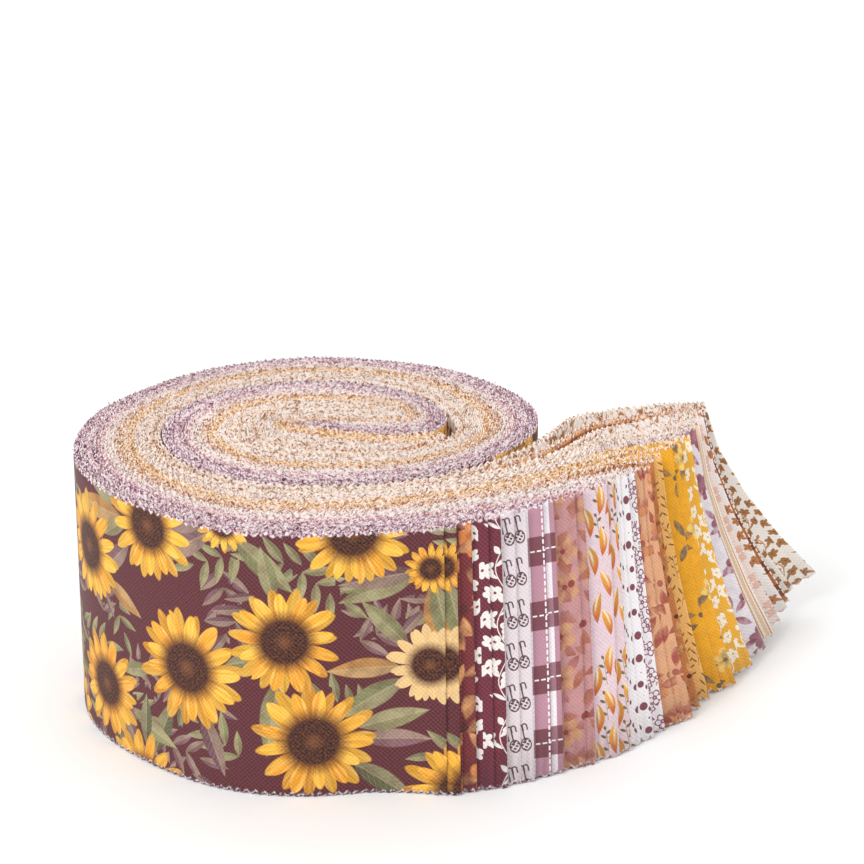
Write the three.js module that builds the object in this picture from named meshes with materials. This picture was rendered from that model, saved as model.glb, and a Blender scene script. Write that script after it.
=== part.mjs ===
// A roll of quilting fabric strips, in millimetres, +Z up.
// Forty strips, two of each of twenty prints, are folded in half across their length, stacked and
// wound up on edge. The roll stands on z = 0 with its axis at the origin. Seen from above it winds
// inwards clockwise from the front, and its loose ends fan out to the right in steps.

import * as THREE from 'three';

// Driving dimensions.
const STRIP_WIDTH = 63.5; // width that a strip is cut to, which is the height of the roll
const PAIR_THICKNESS = 1.0; // two folded strips, four layers of cloth
const PAIR_COUNT = 20;
const ROOT_GAP = 0.35; // between the wound part and the root of the loose ends
const STRIP_STEP = 2.9; // how far the outer strip of a pair stops short of the inner one
const START_ANGLE = -75; // degrees about the axis, from +X, where the loose ends leave the front

// How finely the shapes are stepped.
const SECTION_ANGLE = 10; // degrees of turn from one section of the roll to the next
const CORE_STEPS = 3; // sections from one row of CORE to the next
const RIDGES = 8; // lines across the top of the roll, every second one a furrow
const FAN_STEPS = 2; // sections from one row of FAN to the next
const SHEET_LEVELS = 4; // steps up the height of a loose sheet

// How uneven the top of the roll is.
const RIDGE_DEPTH = 0.7;
const WAVE_DEPTH = 0.5;
const WAVES_PER_TURN = 3;

// The outside of the bundle, by how far it has turned from START_ANGLE, a row each 30 degrees.
const OUTSIDE = [
  { turned: 0, radius: 53.4 },
  { turned: 30, radius: 53.3 },
  { turned: 60, radius: 51.8 },
  { turned: 90, radius: 53.6 },
  { turned: 120, radius: 54.2 },
  { turned: 150, radius: 53.8 },
  { turned: 180, radius: 56.2 },
  { turned: 210, radius: 57.6 },
  { turned: 240, radius: 58.4 },
  { turned: 270, radius: 55.6 },
  { turned: 300, radius: 41.8 },
  { turned: 330, radius: 31.4 },
  { turned: 360, radius: 25.7 },
  { turned: 390, radius: 25.8 },
  { turned: 420, radius: 27.4 },
  { turned: 450, radius: 30.9 },
  { turned: 480, radius: 35.4 },
  { turned: 510, radius: 38.6 },
  { turned: 540, radius: 40.5 },
  { turned: 570, radius: 40.6 },
  { turned: 600, radius: 39.2 },
  { turned: 630, radius: 35.0 },
];

// The gap between one turn of the roll and the next, a row each 30 degrees as in OUTSIDE.
const TURN_GAPS = [0.45, 0.45, 0.45, 0.45, 0.45, 0.6, 1.0, 1.3, 1.3];

// The inside of the bundle where no further turn lies against it, which is round the core.
const INSIDE = [
  { turned: 240, x: 28.6, y: 28.6 },
  { turned: 270, x: 34.9, y: 10.4 },
  { turned: 300, x: 27.8, y: -1.6 },
  { turned: 330, x: 16.5, y: -5.7 },
  { turned: 360, x: 5.0, y: -6.3 },
  { turned: 390, x: -4.8, y: -4.2 },
  { turned: 420, x: -11.2, y: -0.2 },
  { turned: 450, x: -14.6, y: 4.6 },
  { turned: 480, x: -15.0, y: 10.4 },
  { turned: 510, x: -12.0, y: 17.2 },
  { turned: 540, x: -5.0, y: 21.1 },
  { turned: 570, x: 7.0, y: 21.7 },
  { turned: 600, x: 17.0, y: 21.4 },
];

// The core: the bundle folds back at the right, runs left, and folds back once more.
// outX, outY is on the side that shows plum, inX, inY on the side that shows white.
const CORE = [
  { outX: 27.7, outY: 27.7, inX: 17.0, inY: 21.4 },
  { outX: 32.0, outY: 17.2, inX: 18.4, inY: 21.0 },
  { outX: 31.1, outY: 10.2, inX: 18.7, inY: 20.5 },
  { outX: 26.8, outY: 6.9, inX: 17.4, inY: 20.2 },
  { outX: 20.0, outY: 5.9, inX: 13.5, inY: 20.2 },
  { outX: 11.0, outY: 7.7, inX: 7.5, inY: 20.4 },
  { outX: 3.0, outY: 11.0, inX: 0.5, inY: 20.2 },
  { outX: -5.0, outY: 13.2, inX: -6.8, inY: 18.6 },
  { outX: -5.6, outY: 12.8, inX: -13.6, inY: 12.7 },
  { outX: -4.8, outY: 12.2, inX: -14.2, inY: 5.7 },
  { outX: -3.8, outY: 12.2, inX: -10.5, inY: 0.1 },
  { outX: 2.0, outY: 10.6, inX: -4.2, inY: -3.6 },
  { outX: 10.4, outY: 7.1, inX: 4.9, inY: -5.6 },
  { outX: 20.1, outY: 5.2, inX: 17.2, inY: -4.8 },
  { outX: 27.2, outY: 6.2, inX: 28.1, inY: -0.1 },
  { outX: 31.0, outY: 8.4, inX: 33.2, inY: 6.4 },
];

// The fan of loose ends. Each row is a line across the stack, from the outside of the roll (a)
// past two places within the stack (b, c) to its inside (d). The lower edges stand further out
// than the upper ones by lean, and further along the stack by rake.
const FAN_DEPTHS = [0, 0.475, 0.89, 1]; // where a, b, c and d lie through the stack
const FAN = [
  { aX: 13.8, aY: -51.6, bX: 10.5, bY: -39.2, cX: 7.6, cY: -28.3, dX: 6.8, dY: -25.4, lean: 0, rake: 0 },
  { aX: 24.0, aY: -50.4, bX: 20.6, bY: -38.1, cX: 17.6, cY: -27.3, dX: 16.8, dY: -24.4, lean: 1.4, rake: 0 },
  { aX: 33.7, aY: -48.8, bX: 31.0, bY: -35.0, cX: 28.7, cY: -23.9, dX: 27.8, dY: -20.5, lean: 5.1, rake: -0.6 },
  { aX: 44.0, aY: -45.9, bX: 41.2, bY: -30.4, cX: 39.2, cY: -18.4, dX: 37.2, dY: -15.0, lean: 8.6, rake: -1.6 },
  { aX: 55.0, aY: -41.0, bX: 50.2, bY: -25.6, cX: 47.4, cY: -13.0, dX: 45.8, dY: -6.0, lean: 11.6, rake: -2.6 },
  { aX: 64.0, aY: -36.0, bX: 58.0, bY: -21.0, cX: 54.2, cY: -7.3, dX: 51.8, dY: 1.6, lean: 14.2, rake: -3.1 },
  { aX: 72.0, aY: -31.0, bX: 65.0, bY: -16.8, cX: 60.0, cY: -1.0, dX: 57.0, dY: 12.2, lean: 16.4, rake: -3.2 },
  { aX: 80.0, aY: -26.0, bX: 72.0, bY: -13.4, cX: 66.4, cY: 8.2, dX: 61.6, dY: 19.6, lean: 14.8, rake: 3.6 },
  { aX: 87.0, aY: -21.0, bX: 79.6, bY: -10.8, cX: 75.4, cY: 15.6, dX: 70.6, dY: 26.0, lean: 12, rake: 10.5 },
  { aX: 94.0, aY: -15.0, bX: 88.0, bY: -7.0, cX: 84.4, cY: 20.8, dX: 82.4, dY: 29.0, lean: 14.5, rake: 13 },
  { aX: 102.0, aY: -8.0, bX: 97.0, bY: -1.5, cX: 93.4, cY: 24.8, dX: 93.8, dY: 30.0, lean: 6.5, rake: 28 },
];
const INNER_LEAN = 0.3; // share of the lean that the inside of the stack has
const INNER_RAKE = 7.5; // what the innermost sheet has of rake on top of that, at the tip
const BOW = 1.45; // a raked edge runs out slowly below its top and faster near its foot
const EVEN_SAG = 1.2; // how far a raked edge drops before its foot lifts off the surface

// The twenty prints from the outside in. reach counts rows of FAN to the end of the inner strip.
const PRINTS = [
  { name: '01_sunflower', colour: 0x6b3038, reach: 2.0 },
  { name: '02_autumn_bloom', colour: 0x8a3f35, reach: 2.35 },
  { name: '03_maroon_vine', colour: 0x7a2c3c, reach: 3.0 },
  { name: '04_acorn_sketch', colour: 0xdcc9c6, reach: 3.7 },
  { name: '05_plum_gingham', colour: 0xa4608a, reach: 4.4 },
  { name: '06_rose_bloom', colour: 0xb27078, reach: 5.2 },
  { name: '07_pink_tulip', colour: 0xe3bcc6, reach: 6.35 },
  { name: '08_berry_sprig', colour: 0xeee6e6, reach: 6.85 },
  { name: '09_line_flower', colour: 0xf0e9ea, reach: 7.2 },
  { name: '10_peach_leaf', colour: 0xd98e63, reach: 7.8 },
  { name: '11_rust_leaf', colour: 0xc2642a, reach: 8.0 },
  { name: '12_gold_leaf', colour: 0xe2a146, reach: 8.3 },
  { name: '13_gold_bloom', colour: 0xf0a50f, reach: 8.95 },
  { name: '14_gold_vine', colour: 0xeeb93a, reach: 9.25 },
  { name: '15_maroon_leaf', colour: 0xe9dcd8, reach: 9.45 },
  { name: '16_cream_stripe', colour: 0xf0ddc4, reach: 9.6 },
  { name: '17_cream_plaid', colour: 0xf2e3da, reach: 9.72 },
  { name: '18_tan_vine', colour: 0xf1e6dc, reach: 9.88 },
  { name: '19_rust_plaid', colour: 0xb9692c, reach: 9.94 },
  { name: '20_brown_vine', colour: 0xf0e4d4, reach: 10.0 },
];

// The number that a smooth line through values has at place, counted in values.
function smoothValue(values, place) {
  const last = values.length - 1;
  const i = Math.min(Math.floor(place), last - 1);
  const at = (n) => values[Math.min(Math.max(n, 0), last)];
  const t = place - i;
  const [p0, p1, p2, p3] = [at(i - 1), at(i), at(i + 1), at(i + 2)];
  const bend = 2 * p0 - 5 * p1 + 4 * p2 - p3;
  const twist = -p0 + 3 * p1 - 3 * p2 + p3;
  return 0.5 * (2 * p1 + (p2 - p0) * t + bend * t * t + twist * t * t * t);
}

// The same for the columns of a table, as a point.
function smoothPoint(rows, columnX, columnY, place) {
  const pick = (column) => smoothValue(rows.map((row) => row[column]), place);
  return new THREE.Vector2(pick(columnX), pick(columnY));
}

// A ring covered by triangles that all meet at its first point.
function coverFromFirst(count) {
  return Array.from({ length: count - 2 }, (_, i) => [0, i + 1, i + 2]);
}

// A narrow ring covered by pairs of triangles between its one long side and its other.
function coverAcross(count) {
  const rungs = Array.from({ length: count / 2 - 1 }, (_, i) => [i, i + 1, count - 2 - i, count - 1 - i]);
  return rungs.flatMap(([a, b, c, d]) => [[a, b, c], [a, c, d]]);
}

// A closed mesh from rings of points, each ring joined to the next and both ends covered.
function loft(rings, cover) {
  const count = rings[0].length;
  const positions = rings.flat().flatMap((point) => [point.x, point.y, point.z]);
  const index = [];
  for (let r = 0; r + 1 < rings.length; r += 1) {
    for (let i = 0; i < count; i += 1) {
      const a = r * count + i;
      const b = r * count + ((i + 1) % count);
      index.push(a, b, b + count, a, b + count, a + count);
    }
  }
  const end = (rings.length - 1) * count;
  cover(count).forEach(([a, b, c]) => {
    index.push(a, c, b, end + a, end + b, end + c);
  });
  const geometry = new THREE.BufferGeometry();
  geometry.setAttribute('position', new THREE.Float32BufferAttribute(positions, 3));
  geometry.setIndex(index);
  geometry.computeVertexNormals();
  return geometry;
}

function clothMesh(name, geometry, colour) {
  const material = new THREE.MeshStandardMaterial({ color: colour, roughness: 0.92, metalness: 0 });
  const mesh = new THREE.Mesh(geometry, material);
  mesh.name = name;
  return mesh;
}

// The wound roll

// The outside radius of the bundle once it has turned this many degrees.
function outsideRadius(turned) {
  const rowAngle = OUTSIDE[1].turned - OUTSIDE[0].turned;
  return smoothValue(OUTSIDE.map((row) => row.radius), turned / rowAngle);
}

function polar(turned, radius) {
  const angle = THREE.MathUtils.degToRad(START_ANGLE - turned);
  return new THREE.Vector2(radius * Math.cos(angle), radius * Math.sin(angle));
}

// The inside of the bundle: it rests on the next turn, and round the core it follows INSIDE.
function insidePoint(turned) {
  const firstFree = INSIDE[0].turned;
  if (turned < firstFree) {
    const gap = smoothValue(TURN_GAPS, turned / (OUTSIDE[1].turned - OUTSIDE[0].turned));
    return polar(turned, outsideRadius(turned + 360) + gap);
  }
  const rowAngle = INSIDE[1].turned - firstFree;
  return smoothPoint(INSIDE, 'x', 'y', (turned - firstFree) / rowAngle);
}

// Outside and inside of the bundle at every section, from the front to the end of the core.
function rollSections() {
  const sections = [];
  const lastTurned = INSIDE[INSIDE.length - 1].turned;
  for (let turned = 0; turned < lastTurned; turned += SECTION_ANGLE) {
    sections.push({ outside: polar(turned, outsideRadius(turned)), inside: insidePoint(turned) });
  }
  const coreSections = (CORE.length - 1) * CORE_STEPS;
  for (let i = 0; i <= coreSections; i += 1) {
    const place = i / CORE_STEPS;
    sections.push({
      outside: smoothPoint(CORE, 'outX', 'outY', place),
      inside: smoothPoint(CORE, 'inX', 'inY', place),
    });
  }
  return sections;
}

// The height of the top at a ridge line of a section: every second line is a furrow.
function topHeight(line, section) {
  const furrow = line % 2 === 1 ? RIDGE_DEPTH : 0;
  const turn = (section * SECTION_ANGLE) / 360;
  const wave = 0.5 * WAVE_DEPTH * (1 + Math.sin(2 * Math.PI * (turn * WAVES_PER_TURN + line / RIDGES)));
  return STRIP_WIDTH - furrow - wave;
}

function woundRoll() {
  const rings = rollSections().map(({ outside, inside }, section) => {
    const ring = [
      new THREE.Vector3(inside.x, inside.y, 0),
      new THREE.Vector3(outside.x, outside.y, 0),
    ];
    for (let line = 0; line <= RIDGES; line += 1) {
      const point = outside.clone().lerp(inside, line / RIDGES);
      ring.push(new THREE.Vector3(point.x, point.y, topHeight(line, section)));
    }
    return ring;
  });
  return loft(rings, coverFromFirst);
}

// The fan of loose ends

// Where the sheet at this depth through the stack has its upper edge, place rows along the fan.
function fanTop(place, depth) {
  const columns = ['a', 'b', 'c', 'd'];
  const points = columns.map((c) => smoothPoint(FAN, `${c}X`, `${c}Y`, place));
  let k = 0;
  while (k < columns.length - 2 && depth > FAN_DEPTHS[k + 1]) {
    k += 1;
  }
  const share = (depth - FAN_DEPTHS[k]) / (FAN_DEPTHS[k + 1] - FAN_DEPTHS[k]);
  return points[k].lerp(points[k + 1], share);
}

// The direction in which the stack runs there.
function fanDirection(place, depth) {
  const step = 0.05;
  const back = Math.max(place - step, 0);
  return fanTop(place + step, depth).sub(fanTop(back, depth)).normalize();
}

// The upper and lower edge of a sheet, moved by offset towards the inside of the stack, and how far
// the lower one swings out along the stack.
function fanEdges(place, depth, offset) {
  const along = fanDirection(place, depth);
  const inward = new THREE.Vector2(-along.y, along.x);
  const stackAlong = fanDirection(place, 0.5);
  const stackInward = new THREE.Vector2(-stackAlong.y, stackAlong.x);
  const lean = smoothValue(FAN.map((row) => row.lean), place) * (1 - (1 - INNER_LEAN) * depth);
  const beyond = Math.max(0, depth * PAIR_COUNT - (PAIR_COUNT - 1.5));
  const extra = INNER_RAKE * beyond * (place / (FAN.length - 1)) ** 4;
  const rake = smoothValue(FAN.map((row) => row.rake), place) + extra;
  const top = fanTop(place, depth).addScaledVector(inward, offset);
  const foot = top.clone().addScaledVector(stackInward, -lean).addScaledVector(stackAlong, rake);
  const rise = Math.sqrt(STRIP_WIDTH ** 2 - lean ** 2 - rake ** 2);
  const lift = Math.max(0, STRIP_WIDTH - rise - EVEN_SAG);
  return {
    top: new THREE.Vector3(top.x, top.y, rise + lift),
    foot: new THREE.Vector3(foot.x, foot.y, lift),
    swing: new THREE.Vector3(stackAlong.x * rake, stackAlong.y * rake, 0),
  };
}

// The point of a sheet this share of the way from its upper edge down to its lower one.
function betweenEdges({ top, foot, swing }, share) {
  return top.clone().lerp(foot, share).addScaledVector(swing, share ** BOW - share);
}

// Places along a sheet, with the outer strip's end a short step before the inner strip's.
function sheetPlaces(reach) {
  const rowLength = 10;
  const outerEnd = reach - STRIP_STEP / rowLength;
  const places = [{ place: ROOT_GAP / rowLength, whole: true }];
  for (let i = 1; i / FAN_STEPS < outerEnd - 0.1; i += 1) {
    places.push({ place: i / FAN_STEPS, whole: true });
  }
  places.push({ place: outerEnd, whole: true });
  places.push({ place: outerEnd + 0.02, whole: false });
  places.push({ place: reach, whole: false });
  return places;
}

function looseSheet(depth, reach) {
  const half = PAIR_THICKNESS / 2;
  const rings = sheetPlaces(reach).map(({ place, whole }) => {
    const outer = fanEdges(place, depth, whole ? -half : 0);
    const inner = fanEdges(place, depth, half);
    const ring = [];
    for (let i = 0; i <= SHEET_LEVELS; i += 1) {
      ring.push(betweenEdges(outer, i / SHEET_LEVELS));
    }
    for (let i = SHEET_LEVELS; i >= 0; i -= 1) {
      ring.push(betweenEdges(inner, i / SHEET_LEVELS));
    }
    return ring;
  });
  return loft(rings, coverAcross);
}

const roll = new THREE.Group();
roll.add(clothMesh('wound_roll', woundRoll(), 0x74384a));
PRINTS.forEach((print, i) => {
  const depth = (i + 0.5) / PAIR_COUNT;
  roll.add(clothMesh(`strips_${print.name}`, looseSheet(depth, print.reach), print.colour));
});

export default roll;
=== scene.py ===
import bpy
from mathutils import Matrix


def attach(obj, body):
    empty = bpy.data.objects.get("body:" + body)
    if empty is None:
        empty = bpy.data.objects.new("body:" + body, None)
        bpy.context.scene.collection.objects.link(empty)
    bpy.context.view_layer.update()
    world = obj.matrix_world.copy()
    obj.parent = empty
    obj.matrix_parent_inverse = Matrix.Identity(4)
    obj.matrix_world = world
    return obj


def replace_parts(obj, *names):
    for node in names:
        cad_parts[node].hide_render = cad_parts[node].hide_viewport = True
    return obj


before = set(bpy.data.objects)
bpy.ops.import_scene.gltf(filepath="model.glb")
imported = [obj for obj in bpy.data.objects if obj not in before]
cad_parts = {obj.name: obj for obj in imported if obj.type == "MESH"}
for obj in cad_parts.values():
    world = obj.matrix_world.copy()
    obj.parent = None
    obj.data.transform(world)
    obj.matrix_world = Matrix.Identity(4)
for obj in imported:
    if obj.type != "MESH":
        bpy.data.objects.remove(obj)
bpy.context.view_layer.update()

import math

import bpy
import numpy as np

bl_info = {
    "name": "Roll of quilting strips",
    "version": (1, 0, 0),
    "blender": (4, 5, 0),
    "location": "View3D > Sidebar > Quilt Roll",
    "description": "Forty pinked cotton strips in twenty prints, folded, wound up and fanned out",
    "category": "Add Mesh",
}

MM = 0.001
# A full turn, and the widest angle that is drawn at random.
TURN = 6.28318
ANY_ANGLE = 6.28

# The shape of the wound bundle, in millimetres, as the solids have it. Seen from above it winds
# inwards clockwise from START_ANGLE. A station counts rows: below 0 along the fan of loose ends,
# from 0 along OUTSIDE, and from CORE_START along CORE.
START_ANGLE = -75.0
ROW_ANGLE = 30.0
TURN_GAPS = [0.45, 0.45, 0.45, 0.45, 0.45, 0.6, 1.0, 1.3, 1.3]
OUTSIDE_RADIUS = [
    53.4, 53.3, 51.8, 53.6, 54.2, 53.8, 56.2, 57.6, 58.4, 55.6, 41.8,
    31.4, 25.7, 25.8, 27.4, 30.9, 35.4, 38.6, 40.5, 40.6, 39.2, 35.0,
]
INSIDE_START = 8
INSIDE = [
    (28.6, 28.6), (34.9, 10.4), (27.8, -1.6), (16.5, -5.7), (5.0, -6.3), (-4.8, -4.2), (-11.2, -0.2),
    (-14.6, 4.6), (-15.0, 10.4), (-12.0, 17.2), (-5.0, 21.1), (7.0, 21.7), (17.0, 21.4),
]
CORE_START = 20
# Columns: x and y of the side that shows plum, then of the side that shows white.
CORE = [
    (27.7, 27.7, 17.0, 21.4),
    (32.0, 17.2, 18.4, 21.0),
    (31.1, 10.2, 18.7, 20.5),
    (26.8, 6.9, 17.4, 20.2),
    (20.0, 5.9, 13.5, 20.2),
    (11.0, 7.7, 7.5, 20.4),
    (3.0, 11.0, 0.5, 20.2),
    (-5.0, 13.2, -6.8, 18.6),
    (-5.6, 12.8, -13.6, 12.7),
    (-4.8, 12.2, -14.2, 5.7),
    (-3.8, 12.2, -10.5, 0.1),
    (2.0, 10.6, -4.2, -3.6),
    (10.4, 7.1, 4.9, -5.6),
    (20.1, 5.2, 17.2, -4.8),
    (27.2, 6.2, 28.1, -0.1),
    (31.0, 8.4, 33.2, 6.4),
]
CORE_END = CORE_START + len(CORE) - 1
FAN_DEPTHS = [0.0, 0.475, 0.89, 1.0]
# Columns: x and y of the stack's outside, of two places within it and of its inside, lean, rake.
FAN = [
    (13.8, -51.6, 10.5, -39.2, 7.6, -28.3, 6.8, -25.4, 0.0, 0.0),
    (24.0, -50.4, 20.6, -38.1, 17.6, -27.3, 16.8, -24.4, 1.4, 0.0),
    (33.7, -48.8, 31.0, -35.0, 28.7, -23.9, 27.8, -20.5, 5.1, -0.6),
    (44.0, -45.9, 41.2, -30.4, 39.2, -18.4, 37.2, -15.0, 8.6, -1.6),
    (55.0, -41.0, 50.2, -25.6, 47.4, -13.0, 45.8, -6.0, 11.6, -2.6),
    (64.0, -36.0, 58.0, -21.0, 54.2, -7.3, 51.8, 1.6, 14.2, -3.1),
    (72.0, -31.0, 65.0, -16.8, 60.0, -1.0, 57.0, 12.2, 16.4, -3.2),
    (80.0, -26.0, 72.0, -13.4, 66.4, 8.2, 61.6, 19.6, 14.8, 3.6),
    (87.0, -21.0, 79.6, -10.8, 75.4, 15.6, 70.6, 26.0, 12.0, 10.5),
    (94.0, -15.0, 88.0, -7.0, 84.4, 20.8, 82.4, 29.0, 14.5, 13.0),
    (102.0, -8.0, 97.0, -1.5, 93.4, 24.8, 93.8, 30.0, 6.5, 28.0),
]
FAN_ROW = 10.0
INNER_LEAN = 0.3
INNER_RAKE = 7.5
BOW = 1.45
EVEN_SAG = 1.2
LAYERS_A_PRINT = 4
# Half the depth that one layer takes up, the widest room for a layer at the end of the fan, the
# share of its room that half its cloth may fill, the thinnest half of it, and the step along it.
HALF_LAYER = 0.0125
LOOSE_ROOM = 0.32
FILLED = 0.42
THINNEST = 0.008
STATION_STEP = 0.02

# What shows along cut edges: the tone of the cloth there, and that of its dark specks, which stand
# partly for the print of deeper layers and partly for painted shade between the teeth.
EDGE_TONES = {
    "MAUVE": ("bd96aa", "5a3048"),
    "PLUM": ("a87896", "4c2440"),
    "ROSE": ("cf9fa2", "7a4048"),
    "PINK": ("e0bcc0", "8a5a66"),
    "WHITE": ("e8d6cc", "85605a"),
    "TAN": ("dcae88", "74401f"),
    "GOLD": ("e6bc84", "8c5420"),
    "CREAM": ("ecd4be", "805436"),
}

# The twenty prints from the outside in. size is that of a motif, room is how many sizes one repeat
# takes, start_a and start_b shift the repeat along the two strips, all in millimetres.
PRINT_COLUMNS = (
    "name", "pattern", "ground", "motif", "second", "accent", "edge", "size", "room",
    "start_a", "start_b", "reach",
)
PRINTS = [
    ("01_sunflower", "SUNFLOWERS", "602b31", "e6a02e", "6f7350", "4a2c38", "MAUVE",
     14.5, 1.0, 0.0, 0.0, 2.0),
    ("02_autumn_bloom", "TOSSED", "752d32", "d8793a", "e3a56c", "5a2a28", "MAUVE",
     6.0, 2.1, 0.0, 3.0, 2.35),
    ("03_maroon_vine", "VINES", "6e2c3a", "efe9e2", "efe6e2", "8a3a48", "MAUVE",
     2.7, 3.0, 2.4, 4.6, 3.0),
    ("04_acorn_sketch", "BERRIES", "ded2d6", "55343c", "55343c", "8a6a6c", "PINK",
     1.3, 2.6, 2.99, 3.49, 3.58),
    ("05_plum_gingham", "GINGHAM", "f1ecf0", "b27288", "8c465c", "6e2834", "PLUM",
     14.9, 0.45, 0.6, -1.95, 4.28),
    ("06_rose_bloom", "TOSSED", "c38e8e", "c6946c", "b0705a", "8a3a34", "ROSE",
     4.6, 2.1, 0.4, 2.4, 5.2),
    ("07_pink_tulip", "TULIPS", "e4cbd2", "e8a62c", "75703a", "c25e1a", "PINK",
     7.5, 2.2, 3.4, 1.2, 6.3),
    ("08_berry_sprig", "DOTS", "f1ecee", "7c3444", "6f3446", "7c3444", "WHITE",
     0.95, 3.9, 1.4, 3.2, 6.85),
    ("09_line_flower", "OUTLINES", "f2eef1", "8a3a58", "8a3a58", "9c4a66", "WHITE",
     2.0, 2.2, 1.4, 3.0, 7.2),
    ("10_peach_leaf", "TOSSED", "dfa67e", "cf8a5c", "a04840", "a85a48", "TAN",
     4.6, 2.2, 0.0, 2.0, 7.8),
    ("11_rust_leaf", "TOSSED", "c87a40", "7a3420", "e0a868", "5c2418", "TAN",
     3.2, 2.2, 0.0, 1.0, 8.0),
    ("12_gold_leaf", "SPRIGS", "eeb668", "7c4526", "8c5a2c", "5c3626", "GOLD",
     3.0, 1.15, 0.4, 1.7, 8.3),
    ("13_gold_bloom", "TOSSED", "f0aa20", "f2ca6c", "7c6c5c", "6a5a48", "GOLD",
     3.8, 4.2, 0.6, 9.0, 8.95),
    ("14_gold_vine", "VINES", "eeb036", "f9f2df", "f9f2df", "e9b13e", "GOLD",
     2.3, 2.5, 0.8, 2.6, 9.25),
    ("15_maroon_leaf", "TOSSED", "ece4ea", "7c2c40", "8c3a4c", "a8607a", "WHITE",
     3.6, 2.8, 2.0, 5.0, 9.45),
    ("16_cream_stripe", "STRIPES", "f3e8dc", "e4c09c", "cf8f58", "f3e8dc", "CREAM",
     1.9, 1.0, 0.4, 0.2, 9.6),
    ("17_cream_plaid", "GINGHAM", "f6ebe6", "f1dcd2", "eecdbc", "e6b8a4", "CREAM",
     9.0, 0.5, 2.0, 2.0, 9.72),
    ("18_tan_vine", "VINES", "f3ebe8", "b87434", "b87434", "7c4420", "CREAM",
     2.0, 3.2, 1.2, 2.4, 9.88),
    ("19_rust_plaid", "GINGHAM", "d99a58", "b8692c", "a8561e", "7a3814", "TAN",
     8.0, 0.5, 0.2, 0.2, 9.94),
    ("20_brown_vine", "VINES", "f3ebe2", "a46c30", "b87830", "6c3c1c", "CREAM",
     1.8, 3.0, 1.0, 2.0, 10.0),
]


def toned(colour, tone):
    """A colour made darker or lighter."""
    return [tone * c for c in colour]


def linear(code):
    """The linear colour of a six-figure screen colour code."""
    parts = [int(code[i:i + 2], 16) / 255 for i in (0, 2, 4)]
    return [c / 12.92 if c <= 0.04045 else ((c + 0.055) / 1.055) ** 2.4 for c in parts]


# Settings

PATTERNS = [
    ("SUNFLOWERS", "Sunflowers", "Large sunflowers over leaf sprigs"),
    ("TOSSED", "Tossed", "Small flowers and leaves thrown all over"),
    ("VINES", "Vines", "Climbing stems with flowers and leaves"),
    ("BERRIES", "Berries", "Drawn berries on hooked stems, in columns"),
    ("DOTS", "Dots", "Round berries and small leaves"),
    ("TULIPS", "Tulips", "Tall buds between leafy stems"),
    ("OUTLINES", "Outlines", "Flowers drawn in outline"),
    ("SPRIGS", "Sprigs", "Fine twigs with narrow leaves"),
    ("GINGHAM", "Gingham", "Woven checks with stitched lines"),
    ("STRIPES", "Stripes", "Narrow stripes across the cloth"),
]


def colour_setting(name, description, code="ffffff"):
    return bpy.props.FloatVectorProperty(
        name=name, description=description, subtype="COLOR", size=3, min=0.0, max=1.0,
        default=linear(code),
    )


def number_setting(name, description, default=0.0, **more):
    return bpy.props.FloatProperty(name=name, description=description, default=default, **more)


def length_setting(name, description, default):
    return number_setting(name, description, default, min=0.0, unit="LENGTH", precision=5)


class QUILTROLL_PG_print(bpy.types.PropertyGroup):
    """One print, which two of the strips are cut from."""

    pattern: bpy.props.EnumProperty(
        name="Pattern", description="What is printed on the cloth", items=PATTERNS, default="TOSSED"
    )
    ground: colour_setting("Ground", "Colour of the ground of the print")
    motif: colour_setting("Motif", "Main colour of the motifs")
    second: colour_setting("Second", "Second colour of the motifs")
    accent: colour_setting("Accent", "Colour of the small marks")
    edge: colour_setting("Edge", "Tone of the cloth along its cut edges")
    # The speck tone is partly the print of deeper layers and partly painted shade between the pinked
    # teeth.
    speck: colour_setting("Speck", "Tone of the dark specks along its cut edges")
    size: length_setting("Size", "Size of a motif, or of one repeat of a check", 0.003)
    room: number_setting("Room", "Sizes that one repeat takes, or the share of a check's bands", 2.0)
    start_a: number_setting(
        "Start a", "Where the outer strip starts in the repeat", unit="LENGTH", precision=5
    )
    start_b: number_setting(
        "Start b", "Where the inner strip starts in the repeat", unit="LENGTH", precision=5
    )
    reach: number_setting(
        "Reach", "Rows of the fan that the print's strips reach along", 5.0, min=0.5, max=10.0
    )


class QUILTROLL_PG_strips(bpy.types.PropertyGroup):
    """Sizes of the strips."""

    width: length_setting("Width", "Width that a strip is cut to", 63.5 * MM)
    length: length_setting("Length", "Length of a strip before it is folded", 1118.0 * MM)
    cloth: length_setting("Cloth", "Thickness of the cloth", 0.24 * MM)
    tooth_pitch: length_setting("Pinking pitch", "From one pinked tooth to the next", 2.05 * MM)
    tooth_depth: length_setting("Pinking depth", "Depth of a pinked tooth", 0.75 * MM)
    fold: length_setting("Fold", "How far a fold bulges", 0.35 * MM)
    step: length_setting("Step", "How far a print's outer strip stops short", 2.9 * MM)
    unevenness: length_setting("Unevenness", "How far strips stand above their neighbours", 0.7 * MM)
    drift: number_setting("Drift", "Share of a tooth by which teeth miss the next layer's", 0.09)
    fray: length_setting("Fray", "Length of a loose thread", 0.62 * MM)
    threads: bpy.props.IntProperty(
        name="Threads", description="Loose threads on each strip", default=1500, min=0, max=5000
    )
    thread_colour: colour_setting("Thread", "Colour of loose threads", "efe6e2")
    seed: bpy.props.IntProperty(name="Seed", description="Seed of all that is irregular", default=7)


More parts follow.
